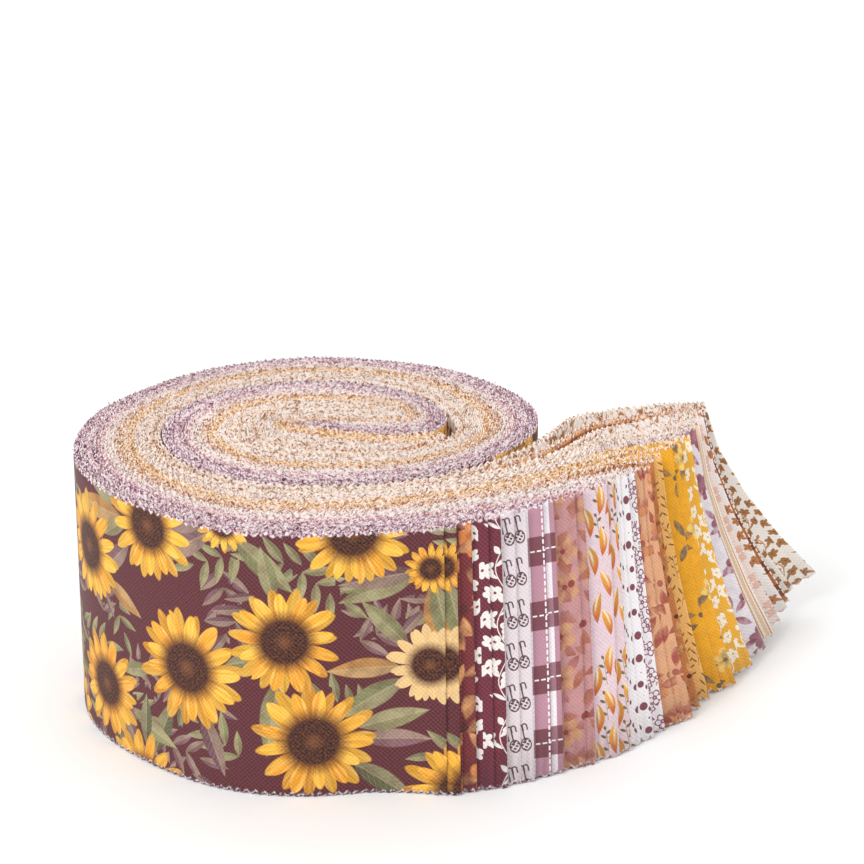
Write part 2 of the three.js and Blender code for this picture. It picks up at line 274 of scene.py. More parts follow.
class QUILTROLL_PG_stage(bpy.types.PropertyGroup):
    """Floor, light and camera."""

    floor: colour_setting("Floor", "Colour of the floor", "f4f4f4")
    key: number_setting("Key light", "Power of the main light", 10.5, min=0.0, unit="POWER")
    fill: number_setting("Fill light", "Power of the light at the right", 2.5, min=0.0, unit="POWER")
    back: number_setting("Back light", "Power of the light behind", 5.0, min=0.0, unit="POWER")
    sky: number_setting("Room light", "Strength of the light from all round", 0.78, min=0.0)
    camera_place: bpy.props.FloatVectorProperty(
        name="Camera", description="Where the camera stands", subtype="TRANSLATION",
        unit="LENGTH", size=3, default=(0.0287, -0.646, 0.322),
    )
    camera_tilt: number_setting(
        "Tilt", "How far the camera looks down", math.radians(21.6), subtype="ANGLE"
    )
    camera_lens: number_setting(
        "Lens", "Focal length for a 36 mm wide picture", 125.46, unit="CAMERA"
    )


# The lie of the strips


def smooth(rows, place):
    """Rows of a smooth line through the rows of a table, at places counted in rows."""
    rows = np.asarray(rows, float)
    rows = rows.reshape(len(rows), -1)
    place = np.atleast_1d(np.asarray(place, float))
    last = len(rows) - 1
    start = np.clip(np.floor(place).astype(int), 0, last - 1)
    t = (place - start)[:, None]
    p0, p1, p2, p3 = (rows[np.clip(start + k, 0, last)] for k in (-1, 0, 1, 2))
    bend = 2 * p0 - 5 * p1 + 4 * p2 - p3
    twist = -p0 + 3 * p1 - 3 * p2 + p3
    return 0.5 * (2 * p1 + (p2 - p0) * t + bend * t * t + twist * t * t * t)


def unit(vectors):
    return vectors / np.maximum(np.linalg.norm(vectors, axis=-1, keepdims=True), 1e-9)


def turned_left(vectors):
    """Flat vectors turned a quarter to the left."""
    return np.stack([-vectors[:, 1], vectors[:, 0]], axis=1)


def polar(station, radius):
    """A point of the wound part, radius millimetres from its middle."""
    angle = np.radians(START_ANGLE - ROW_ANGLE * station)
    return np.stack([radius * np.cos(angle), radius * np.sin(angle)], axis=1)


def fan_point(place, depth):
    """Upper edge of the layer at each depth through the stack, place rows along the fan."""
    row = smooth(FAN, place)
    edge = [row[:, 2 * k:2 * k + 2] for k in range(4)]
    point = edge[0].copy()
    for k in range(3):
        share = (depth - FAN_DEPTHS[k]) / (FAN_DEPTHS[k + 1] - FAN_DEPTHS[k])
        between = edge[k] + (edge[k + 1] - edge[k]) * share[:, None]
        point = np.where((depth >= FAN_DEPTHS[k])[:, None], between, point)
    return point


def fan_direction(place, depth):
    back = np.maximum(place - 0.05, 0.0)
    return unit(fan_point(place + 0.05, depth) - fan_point(back, depth))


def fan_lay(place, depth, offset, width):
    """Top and foot of a layer in the fan, moved by offset towards the inside of the stack, and how
    far its foot swings out along the stack."""
    along = fan_direction(place, depth)
    stack_along = fan_direction(place, np.full_like(place, 0.5))
    row = smooth(FAN, place)
    lean = row[:, 8] * (1 - (1 - INNER_LEAN) * depth)
    beyond = np.maximum(0.0, depth * len(PRINTS) - (len(PRINTS) - 1.5))
    rake = row[:, 9] + INNER_RAKE * beyond * (place / (len(FAN) - 1)) ** 4
    top = fan_point(place, depth) + turned_left(along) * offset[:, None]
    swing = stack_along * rake[:, None]
    foot = top - turned_left(stack_along) * lean[:, None] + swing
    rise = np.sqrt(width ** 2 - lean ** 2 - rake ** 2)
    lift = np.maximum(0.0, width - rise - EVEN_SAG)
    return np.column_stack([top, rise + lift]), np.column_stack([foot, lift]), swing


def wound_lay(station, depth, width):
    """Top and foot of a layer in the wound part."""
    outside = polar(station, smooth(OUTSIDE_RADIUS, station)[:, 0])
    next_turn = smooth(OUTSIDE_RADIUS, np.minimum(station + 360 / ROW_ANGLE, 21))[:, 0]
    touching = polar(station, next_turn + smooth(TURN_GAPS, np.minimum(station, 8.0))[:, 0])
    free = smooth(INSIDE, np.maximum(station - INSIDE_START, 0.0))
    inside = np.where((station < INSIDE_START)[:, None], touching, free)
    core = smooth(CORE, np.maximum(station - CORE_START, 0.0))
    in_core = (station >= CORE_START)[:, None]
    outside = np.where(in_core, core[:, 0:2], outside)
    inside = np.where(in_core, core[:, 2:4], inside)
    point = outside + (inside - outside) * depth[:, None]
    flat = np.zeros(len(station))
    gap = np.linalg.norm(inside - outside, axis=1)
    return np.column_stack([point, flat + width]), np.column_stack([point, flat]), gap


def ease(x):
    """From 0 to 1 without a jerk."""
    x = np.clip(x, 0.0, 1.0)
    return x * x * (3 - 2 * x)


class Bundle:
    """All the layers of the folded strips: where each one starts, ends and lies."""

    def __init__(self, prints, strips):
        self.width = strips.width / MM
        self.cloth = strips.cloth / MM
        self.rng = np.random.default_rng(strips.seed)
        self.count = len(prints) * LAYERS_A_PRINT
        self.reach = np.repeat([p.reach for p in prints], LAYERS_A_PRINT)
        step = strips.step / MM / FAN_ROW
        self.reach = self.reach - step * np.tile([1, 1, 0, 0], len(prints))
        self.ends = self.core_ends()
        self.stations = np.arange(0.0, CORE_END + 0.01, STATION_STEP)
        weight = ease((self.ends[:, None] - self.stations[None, :]) / 0.8 + 0.1)
        total = np.maximum(weight.sum(axis=0), 1e-6)
        self.depths = (np.cumsum(weight, axis=0) - 0.5 * weight) / total
        self.shares = weight / total
        self.phases = np.cumsum(self.rng.normal(0.0, strips.drift, self.count))
        # Eighteen draws that shape nothing, so that the later ones come out the same.
        self.rng.uniform(size=18)

    def core_ends(self):
        """The outermost strips run to the left end of the core, the next ones stop short of it at
        random, and the inner half goes on into the last pass."""
        ends = np.empty(self.count)
        for i in range(0, self.count, 2):
            share = i / self.count
            if share < 0.12:
                end = self.rng.uniform(6.6, 7.0)
            elif share < 0.5:
                end = self.rng.uniform(4.6, 6.9)
            else:
                end = self.rng.uniform(12.6, 15.0)
            ends[i:i + 2] = CORE_START + end + self.rng.uniform(-0.1, 0.0, 2)
        return ends

    def layer(self, i):
        """Top, foot, swing and half thickness along layer i, from its fold to its end in the core,
        as columns of one table, and how many of its rows lie in the fan."""
        pair, within = divmod(i, LAYERS_A_PRINT)
        depth = (pair + 0.5) / (self.count / LAYERS_A_PRINT)
        places = np.linspace(self.reach[i], 0.0, int(self.reach[i] / STATION_STEP) + 2)[:-1]
        depths = np.full_like(places, depth)
        near = fan_point(places, depths - HALF_LAYER)
        far = fan_point(places, depths + HALF_LAYER)
        natural = np.linalg.norm(far - near, axis=1) / 2
        blend = ease(places / 1.5)
        spacing = natural * (1 - blend) + np.minimum(natural, LOOSE_ROOM) * blend
        top, foot, swing = fan_lay(places, depths, (within - 1.5) * spacing, self.width)
        half = np.minimum(0.5 * self.cloth, FILLED * spacing)
        stations = self.stations[self.stations <= self.ends[i]]
        n = len(stations)
        wound_top, wound_foot, gap = wound_lay(stations, self.depths[i, :n], self.width)
        wound_half = np.minimum(0.5 * self.cloth, FILLED * gap * self.shares[i, :n])
        fan = np.column_stack([top, foot, swing, half])
        wound_half = np.maximum(wound_half, THINNEST)
        wound = np.column_stack([wound_top, wound_foot, np.zeros((n, 2)), wound_half])
        return np.vstack([fan, wound]), len(places)


def toothed_layer(bundle, i, strips):
    """The same rows at the layer's fold and at each tip and notch of its teeth, with columns added
    for the distance from the fold, 1 at a notch and 1 in the fan. The teeth of neighbours nearly
    agree where the wound part starts."""
    rows, fan_count = bundle.layer(i)
    middle = 0.5 * (rows[:, 0:3] + rows[:, 3:6])
    run = np.concatenate([[0.0], np.cumsum(np.linalg.norm(np.diff(middle, axis=0), axis=1))])
    pitch, phase = strips.tooth_pitch / MM, bundle.phases[i]
    root, longest = run[fan_count], min(run[-1], 0.5 * strips.length / MM)
    first = math.ceil(2 * ((0.3 - root) / pitch + phase))
    last = math.floor(2 * ((longest - root) / pitch + phase))
    steps = np.arange(first, last + 1)
    at = np.concatenate([[0.0], root + (0.5 * steps - phase) * pitch])
    notch = np.concatenate([[0.5], steps % 2])
    picked = [np.interp(at, run, rows[:, k]) for k in range(rows.shape[1])]
    return np.column_stack([*picked, at, notch, at < root])


def folded_strip(bundle, i, strips):
    """The rows of a whole strip, from one raw end round the fold to the other."""
    a, b = toothed_layer(bundle, i, strips), toothed_layer(bundle, i + 1, strips)
    bulge = strips.fold / MM
    out = np.zeros(a.shape[1])
    out[0:3] = out[3:6] = unit(a[0, 0:3] + a[0, 3:6] - a[2, 0:3] - a[2, 3:6]) * bulge
    arc = np.linspace(0, math.pi, 7)[1:-1, None]
    fold = 0.5 * (a[0] + b[0]) + 0.5 * (a[0] - b[0]) * np.cos(arc) + out * np.sin(arc)
    bend = bulge * 1.3
    fold[:, 9] = np.linspace(-bend, bend, 7)[1:-1]
    a[:, 9] = -a[:, 9] - bend
    b[:, 9] += bend
    return np.vstack([a[::-1], fold, b])


# Meshes


FRONT, BACK, RIM, THREAD = 0, 1, 2, 3
# The strip laid flat in three lengths, one above the other: where its front, back, rims and threads
# start in each of them, and how deep one is.
LAID_ROWS = (0.0, 66.0, 132.0, 138.0)
LAID_PARTS = 3
LAID_DEPTH = 142.0
LAID_THREAD = 1.3
# Loose threads, in millimetres: the share of them on the top edge, how deep they are rooted, the
# longest, the thinnest and thickest radius, and the angles of the three corners.
THREADS_ON_TOP = 0.78
THREAD_ROOT = 0.12
LONGEST_THREAD = 2.0
THREAD_RADII = (0.05, 0.09)
THREAD_CORNERS = (0.0, 2.094, 4.189)
# How much the depth of teeth varies.
TOOTH_VARIES = (0.75, 1.2)


class Surface:
    """Collects the faces of one piece with their place on the cloth and on the strip laid flat."""

    def __init__(self, length):
        self.points, self.faces, self.cloth, self.edge, self.laid, self.side = [], [], [], [], [], []
        self.length = length
        self.count = 0

    def add_points(self, points):
        first = self.count
        self.points.append(np.asarray(points, float))
        self.count += len(points)
        return first

    def add_faces(self, faces, cloth, edge, side, laid=None):
        """faces is (n, corners) point numbers, cloth and edge (n, corners, 2) values in metres, and
        laid the same for the strip laid flat, in millimetres."""
        if laid is None:
            laid = cloth / MM + np.array([0.0, LAID_ROWS[side]])
        share = laid[:, :, 0].mean(axis=1) / self.length + 0.5
        part = np.clip(np.floor(share * LAID_PARTS), 0, LAID_PARTS - 1)
        x = laid[:, :, 0] + self.length * (0.5 - part / LAID_PARTS)[:, None] + 2.0
        y = laid[:, :, 1] + (part * LAID_DEPTH)[:, None] + 1.0
        self.laid.append(np.stack([x, y], axis=2) / (LAID_PARTS * LAID_DEPTH))
        self.faces.append(np.asarray(faces))
        self.cloth.append(np.asarray(cloth, float))
        self.edge.append(np.asarray(edge, float))
        self.side.append(np.full(len(faces), float(side)))

    def mesh(self, name, strip):
        points = np.vstack(self.points) * MM
        sizes = np.concatenate([np.full(len(f), f.shape[1]) for f in self.faces])
        corners = np.concatenate([f.reshape(-1) for f in self.faces])
        made = bpy.data.meshes.new(name)
        made.vertices.add(len(points))
        made.vertices.foreach_set("co", points.reshape(-1))
        made.loops.add(len(corners))
        made.loops.foreach_set("vertex_index", corners.astype(np.int32))
        made.polygons.add(len(sizes))
        starts = np.concatenate([[0], np.cumsum(sizes)[:-1]])
        made.polygons.foreach_set("loop_start", starts.astype(np.int32))
        for label, parts in (("cloth", self.cloth), ("edge", self.edge), ("OFBake", self.laid)):
            layer = made.uv_layers.new(name=label)
            values = np.concatenate([p.reshape(-1, 2) for p in parts])
            layer.data.foreach_set("uv", values.reshape(-1).astype(np.float32))
        side = made.attributes.new("side", "FLOAT", "FACE")
        sides = np.concatenate(self.side)
        side.data.foreach_set("value", sides.astype(np.float32))
        numbers = made.attributes.new("strip", "FLOAT", "FACE")
        numbers.data.foreach_set("value", np.full(len(sides), strip, np.float32))
        made.update()
        made.validate()
        made.polygons.foreach_set("use_smooth", sides < 1.5)
        made.update()
        return made


def add_wall(surface, points, cloth, edge, fine, side, flip):
    """One side of a strip. points, cloth and edge are (levels, columns, ...). All levels are used
    where fine, and elsewhere only the lowest and the highest."""
    levels, columns = points.shape[:2]
    ends = np.nonzero(fine)[0]
    start, stop = ends[0], ends[-1]
    numbers = np.zeros((levels, columns), int)
    for level in range(levels):
        part = slice(None) if level in (0, levels - 1) else slice(start, stop + 1)
        first = surface.add_points(points[level, part])
        numbers[level, part] = first + np.arange(len(points[level, part]))

    def add(rows, cols):
        """Faces from the level and column numbers of their corners."""
        rows, cols = np.atleast_2d(rows), np.atleast_2d(cols)
        if flip:
            rows, cols = rows[:, ::-1], cols[:, ::-1]
        surface.add_faces(numbers[rows, cols], cloth[rows, cols], edge[rows, cols], side)

    high = levels - 1
    for level in range(high):
        k = np.arange(start, stop)
        low = np.full(len(k), level)
        add(np.column_stack([low, low, low + 1, low + 1]), np.column_stack([k, k + 1, k + 1, k]))
    for k in (np.arange(0, start - 1), np.arange(stop + 1, columns - 1)):
        if len(k):
            low = np.zeros(len(k), int)
            tall = np.full(len(k), high)
            add(np.column_stack([low, low, tall, tall]), np.column_stack([k, k + 1, k + 1, k]))
    between = list(range(1, high))
    if start > 0:
        add([0, 0, *between, high, high], [start - 1, *[start] * (high + 1), start - 1])
    if stop < columns - 1:
        cols = [stop, stop + 1, stop + 1, stop, *[stop] * (high - 1)]
        add([0, 0, high, high, *between[::-1]], cols)
    return numbers[0], numbers[high]


def add_strip(surface, bundle, i, strips, levels, even):
    """A strip with its printed front, its back, pinked rims and raw ends. Its levels run all along
    it where even, or else only where it lies loose."""
    rng = bundle.rng
    rows = folded_strip(bundle, i, strips)
    top, foot, swing = rows[:, 0:3], rows[:, 3:6], rows[:, 6:8]
    half, at, notch, loose = rows[:, 8], rows[:, 9], rows[:, 10], rows[:, 11] > 0.5
    n = len(at)
    depth = strips.tooth_depth / MM
    rise = unit(top - foot)
    run = np.gradient(0.5 * (top + foot)[:, :2], axis=0)
    right = -turned_left(unit(run))
    sway = rng.uniform(0, ANY_ANGLE, 3)
    high = 0.5 + 0.3 * np.sin(at / 17 + sway[0]) + 0.2 * np.sin(at / 5.3 + sway[1])
    lift = strips.unevenness / MM * (0.3 * rng.uniform() + 0.7 * high)
    top_cut = depth * notch * rng.uniform(*TOOTH_VARIES, n)
    foot_cut = depth * (1 - notch) * rng.uniform(*TOOTH_VARIES, n)
    upper = top + rise * (lift - top_cut)[:, None]
    lower = foot + rise * (lift * 0.15 + foot_cut)[:, None]
    lower[:, 2] = np.maximum(lower[:, 2], 0.02)
    out = np.column_stack([right * half[:, None], np.zeros(n)])
    height = np.linalg.norm(upper - lower, axis=1)
    share = np.asarray(levels)[:, None]
    drop = 1 - share
    bow = np.zeros((len(levels), n, 3))
    bow[:, :, :2] = (drop ** BOW - drop)[:, :, None] * swing
    face = lower + (upper - lower) * share[:, :, None] + bow
    cloth = np.stack([np.broadcast_to(at, (len(levels), n)), foot_cut + height * share], axis=2) * MM
    edge = np.stack([height * share, height * (1 - share)], axis=2) * MM
    fine = loose | even
    front = add_wall(surface, face + out, cloth, edge, fine, FRONT, False)
    back = add_wall(surface, face - out, cloth, edge, loose, BACK, True)
    k = np.arange(n - 1)
    for a, b, level, turned in ((front[1], back[1], -1, False), (front[0], back[0], 0, True)):
        faces = np.column_stack([a[k], a[k + 1], b[k + 1], b[k]])
        here, there = cloth[level, k], cloth[level, k + 1]
        rim = np.stack([here, there, there, here], axis=1)
        laid = rim / MM
        laid[:, :, 1] = LAID_ROWS[RIM] + 2.0 * turned + np.array([0.0, 0.0, 1.0, 1.0])
        if turned:
            faces, rim, laid = faces[:, ::-1], rim[:, ::-1], laid[:, ::-1]
        surface.add_faces(faces, rim, rim * 0, RIM, laid)
    for k, turned in ((0, False), (n - 1, True)):
        ring = [front[0][k], front[1][k], back[1][k], back[0][k]]
        if turned:
            ring = ring[::-1]
        flat = np.zeros((1, 4, 2)) + np.array([at[k] * MM, 0.03])
        laid = np.array([[(0.0, 0.0), (1.0, 0.0), (1.0, 1.0), (0.0, 1.0)]])
        laid = laid + np.array([at[k] * 0.99, LAID_ROWS[RIM] + 4.2])
        surface.add_faces(np.array([ring]), flat, flat * 0, RIM, laid)
    add_threads(surface, rng, strips, upper, lower, rise, out, at, height)


def add_threads(surface, rng, strips, upper, lower, rise, out, at, height):
    """Loose threads along the pinked edges, each a thin closed spike."""
    count = strips.threads
    if not count:
        return
    where = rng.integers(0, len(at), count)
    on_top = rng.uniform(size=count) < THREADS_ON_TOP
    base = np.where(on_top[:, None], upper[where], lower[where])
    base = base + out[where] * rng.uniform(-1, 1, count)[:, None]
    upward = np.where(on_top[:, None], rise[where], -rise[where])
    base = base - upward * THREAD_ROOT
    lean = rng.normal(0, 0.75, (count, 3))
    length = strips.fray / MM * rng.gamma(3.0, 1 / 3.0, count)
    length = np.minimum(length, LONGEST_THREAD)
    tip = base + unit(upward + lean) * length[:, None]
    tip[:, 2] = np.maximum(tip[:, 2], 0.03)
    axis = unit(tip - base)
    side_a = unit(np.cross(axis, rng.normal(size=(count, 3))))
    side_b = np.cross(axis, side_a)
    thick = rng.uniform(*THREAD_RADII, count)[:, None]
    ring = [base + thick * (side_a * math.cos(t) + side_b * math.sin(t)) for t in THREAD_CORNERS]
    points = np.stack(ring + [tip], axis=1)
    points[:, :, 2] = np.maximum(points[:, :, 2], 0.01)
    first = surface.add_points(points.reshape(-1, 3)) + 4 * np.arange(count)
    v = np.where(on_top, height[where], 0.0)
    in_row = int(surface.length / LAID_THREAD)
    row, column = np.divmod(np.arange(count), in_row)
    x = (column + 0.5) * LAID_THREAD - 0.5 * surface.length
    cell = np.column_stack([x, LAID_ROWS[THREAD] + row * LAID_THREAD])[:, None, :]
    spread = np.array([(-0.4, 0.0), (0.4, 0.0), (0.0, 0.9), (0.0, 0.3)])
    for corners in ((0, 1, 3), (1, 2, 3), (2, 0, 3), (0, 2, 1)):
        faces = np.column_stack([first + c for c in corners])
        cloth = np.repeat(np.column_stack([at[where], v])[:, None, :], 3, axis=1) * MM
        flat = spread[list(corners)]
        laid = cell + (flat if 3 in corners else flat * 0.2 + (0.4, 0.8))
        surface.add_faces(faces, cloth, cloth * 0, THREAD, laid)


# The sunflower print

SLOTS = 4
FLOWER, LEAF, NOTHING = 0, 1, 5
LEAF_HALF_WIDTH = 0.30
SUNFLOWER_SEED = 31
# Sizes of heads, how often each is tried, and the room that it keeps.
HEADS = ((1.0, 900, 0.84), (0.7, 600, 0.86), (0.45, 600, 0.95))
LEAF_SHADES = [0.08, 0.22, 0.36, 0.5, 0.66, 0.86]
SPRIG_SHADES = [0.48, 0.56, 0.64, 0.30, 0.12]
# The area for one sprig, in square millimetres, and the length of its stem between leaves.
SPRIG_AREA = 230
SPRIG_STEM = 0.27


def sunflower_motifs(low, high, width, size, rng):
    """Flowers, leaves and sprigs, back to front, as (u, v, radius, angle, kind and shade)."""
    flowers = []
    for radius, tries, room in HEADS:
        for _ in range(tries):
            r = size * radius * rng.uniform(0.92, 1.06)
            u, v = rng.uniform(low, high), rng.uniform(-0.4 * r, width + 0.4 * r)
            if all(math.hypot(u - f[0], v - f[1]) > room * (r + f[2]) for f in flowers):
                pale = 0.85 if radius == 0.7 and rng.uniform() < 0.25 else rng.uniform(0.0, 0.6)
                flowers.append((u, v, r, rng.uniform(0, ANY_ANGLE), FLOWER + pale))
    leaves, sprigs = [], []
    for u, v, r, _, _ in flowers:
        for _ in range(rng.integers(3, 6)):
            a = rng.uniform(0, ANY_ANGLE)
            length = size * rng.uniform(0.42, 0.72)
            reach = r * 0.82 + length * 0.75
            shade = rng.choice(LEAF_SHADES)
            place = (u + reach * math.cos(a), v + reach * math.sin(a))
            leaves.append((*place, length, a, LEAF + shade))
    area = (high - low) * width
    for _ in range(int(area / SPRIG_AREA)):
        u, v, a = rng.uniform(low, high), rng.uniform(0, width), rng.uniform(0, ANY_ANGLE)
        shade = rng.choice(SPRIG_SHADES)
        bend = rng.uniform(-0.08, 0.08)
        for k in range(4):
            a += bend
            u += size * SPRIG_STEM * math.cos(a)
            v += size * SPRIG_STEM * math.sin(a)
            for turn in (0.85, -0.85) if k < 3 else (0.0,):
                length = size * rng.uniform(0.22, 0.3)
                at = 0.95 * length
                sprigs.append((
                    u + at * math.cos(a + turn), v + at * math.sin(a + turn), length, a + turn,
                    LEAF + shade + rng.uniform(-0.03, 0.03),
                ))
    rng.shuffle(leaves)
    return sprigs + [tuple(x) for x in leaves] + flowers[::-1]


def add_motif_slots(mesh, motifs):
    """Stores in each face corner its place within up to four motifs that cover the face."""
    n = len(mesh.loops)
    cloth = np.empty(2 * n, np.float32)
    mesh.uv_layers["cloth"].data.foreach_get("uv", cloth)
    cloth = cloth.reshape(-1, 2).astype(float) / MM
    sizes = np.empty(len(mesh.polygons), np.int32)
    starts = np.empty(len(mesh.polygons), np.int32)
    mesh.polygons.foreach_get("loop_total", sizes)
    mesh.polygons.foreach_get("loop_start", starts)
    low = np.minimum.reduceat(cloth, starts, axis=0)
    high = np.maximum.reduceat(cloth, starts, axis=0)
    middle, reach = 0.5 * (low + high), 0.5 * np.linalg.norm(high - low, axis=1)
    chosen = np.full((len(sizes), SLOTS), -1)
    for number in range(len(motifs) - 1, -1, -1):
        u, v, r, angle, kind = motifs[number]
        dx, dy = middle[:, 0] - u, middle[:, 1] - v
        if kind < LEAF:
            near = np.hypot(dx, dy) < 1.03 * r + reach
        else:
            x = np.abs(dx * math.cos(angle) + dy * math.sin(angle))
            y = np.abs(-dx * math.sin(angle) + dy * math.cos(angle))
            near = (x < 1.05 * r + reach) & (y < (LEAF_HALF_WIDTH + 0.05) * r + reach)
        for slot in range(SLOTS - 1, -1, -1):
            free = near & (chosen[:, slot] < 0)
            chosen[free, slot] = number
            near = near & ~free
    table = np.array(motifs + [(0, 0, 1, 0, NOTHING)], float)
    face_of = np.repeat(np.arange(len(sizes)), sizes)
    for slot in range(SLOTS):
        u, v, r, angle, kind = table[chosen[face_of, slot]].T
        dx, dy = (cloth[:, 0] - u) / r, (cloth[:, 1] - v) / r
        x = dx * np.cos(angle) + dy * np.sin(angle)
        y = -dx * np.sin(angle) + dy * np.cos(angle)
        layer = mesh.attributes.new(f"motif_{slot}", "FLOAT_VECTOR", "CORNER")
        values = np.column_stack([x, y, kind]).reshape(-1)
        layer.data.foreach_set("vector", values.astype(np.float32))


# Materials


def _operation(name, turned=False):
    """A method that adds a Math node, with the values in turned order where turned."""
    def method(self, *others):
        values = (*others, self) if turned else (self, *others)
        sockets = dict(zip(("Value", "Value_001"), values))
        return self.nodes.add("ShaderNodeMath", {"operation": name}, sockets)["Value"]
    return method


class Field:
    """A value that varies over a surface, with arithmetic that adds Math nodes."""

    def __init__(self, nodes, socket):
        self.nodes = nodes
        self.socket = socket

    __add__ = __radd__ = _operation("ADD")
    __mul__ = __rmul__ = _operation("MULTIPLY")
    __sub__ = _operation("SUBTRACT")
    __rsub__ = _operation("SUBTRACT", turned=True)
    __truediv__ = _operation("DIVIDE")
    __pow__ = _operation("POWER")
    __abs__ = _operation("ABSOLUTE")
    __lt__ = _operation("LESS_THAN")
    __gt__ = _operation("GREATER_THAN")
    least = _operation("MINIMUM")
    most = _operation("MAXIMUM")
    floor = _operation("FLOOR")
    fraction = _operation("FRACT")
    sin = _operation("SINE")
    cos = _operation("COSINE")
    root = _operation("SQRT")
    # The angle of the direction (other, self).
    bearing = _operation("ARCTAN2")

    def within(self):
        """Limited to between 0 and 1."""
        return self.least(1.0).most(0.0)


class Finish:
    """The node tree of one finish, and the patterns that prints share."""

    def __init__(self, name):
        self.material = bpy.data.materials.new(name)
        self.material.use_nodes = True
        self.tree = self.material.node_tree
        self.tree.nodes.clear()

    def add(self, kind, settings=None, sockets=None):
        """A node of this kind, as a dict of its outputs."""
        node = self.tree.nodes.new(kind)
        for name, value in (settings or {}).items():
            if name == "stops":
                ramp = node.color_ramp
                while len(ramp.elements) < len(value):
                    ramp.elements.new(0.5)
                for element, (position, colour) in zip(ramp.elements, value):
                    element.position = position
                    element.color = [*colour, 1.0]
            elif name == "interpolation":
                node.color_ramp.interpolation = value
            else:
                setattr(node, name, value)
        for name, value in (sockets or {}).items():
            socket = next(s for s in node.inputs if s.enabled and name in (s.identifier, s.name))
            if isinstance(value, Field):
                self.tree.links.new(value.socket, socket)
            elif hasattr(value, "__len__") and socket.type == "RGBA":
                socket.default_value = [*value, 1.0][:4]
            else:
                socket.default_value = value
        return {s.name: Field(self, s) for s in node.outputs if s.enabled}

    def mix(self, below, above, share):
        """One colour over another."""
        sockets = {"Factor_Float": share, "A_Color": below, "B_Color": above}
        return self.add("ShaderNodeMix", {"data_type": "RGBA"}, sockets)["Result"]

    def parts(self, vector):
        found = self.add("ShaderNodeSeparateXYZ", None, {"Vector": vector})
        return found["X"], found["Y"], found["Z"]

    def point(self, x, y, z=0.0):
        return self.add("ShaderNodeCombineXYZ", None, {"X": x, "Y": y, "Z": z})["Vector"]

    def map(self, name):
        return self.add("ShaderNodeUVMap", {"uv_map": name})["UV"]

    def stored(self, name):
        return self.add("ShaderNodeAttribute", {"attribute_name": name})

    def noise(self, vector, scale, detail=2.0):
        sockets = {"Vector": vector, "Scale": scale, "Detail": detail}
        return self.add("ShaderNodeTexNoise", {"noise_dimensions": "3D"}, sockets)["Fac"]

    def chance(self, x, y, z=0.0):
        """Three random numbers that belong to a cell."""
        vector = self.point(x + 0.5, y + 0.5, z)
        found = self.add("ShaderNodeTexWhiteNoise", {"noise_dimensions": "3D"}, {"Vector": vector})
        split = self.add("ShaderNodeSeparateColor", None, {"Color": found["Color"]})
        return split["Red"], split["Green"], split["Blue"]

    def turn(self, x, y, angle):
        if isinstance(angle, Field):
            c, s = angle.cos(), angle.sin()
        else:
            c, s = math.cos(angle), math.sin(angle)
        return x * c + y * s, y * c - x * s

    def flower(self, x, y, petals, radius, soft):
        """Cover of an open flower."""
        far = (x * x + y * y).root()
        edge = radius * (0.62 + 0.38 * abs((y.bearing(x) * (0.5 * petals)).cos()))
        return ((edge - far) / soft).within()

    def disc(self, x, y, radius, soft):
        return ((radius - (x * x + y * y).root()) / soft).within()

    def leaf(self, x, y, length, width, soft):
        """Cover of a leaf that runs from the origin along x."""
        t = x * (2.0 / length) - 1.0
        return ((width * (1.0 - t * t) - abs(y)) / soft).within()

    def line(self, x, y, start, end, thick, soft):
        across = ((thick - abs(y)) / soft).within()
        return across * (x > start) * (x < end)

    def cells(self, u, v, pitch_u, pitch_v, drop=0.5, salt=0.0):
        """Place within a cell of a half-drop repeat, and the cell's random numbers."""
        across = u * (1.0 / pitch_u)
        column = across.floor()
        up = v * (1.0 / pitch_v) + drop * ((column * 0.5).fraction() * 2.0)
        row = up.floor()
        x = (across - column - 0.5) * pitch_u
        y = (up - row - 0.5) * pitch_v
        return x, y, self.chance(column, row, salt)


# The softness of a printed edge, and the pitch of the weave, in millimetres.
SOFT = 0.12
WEAVE_PITCH = 1.05


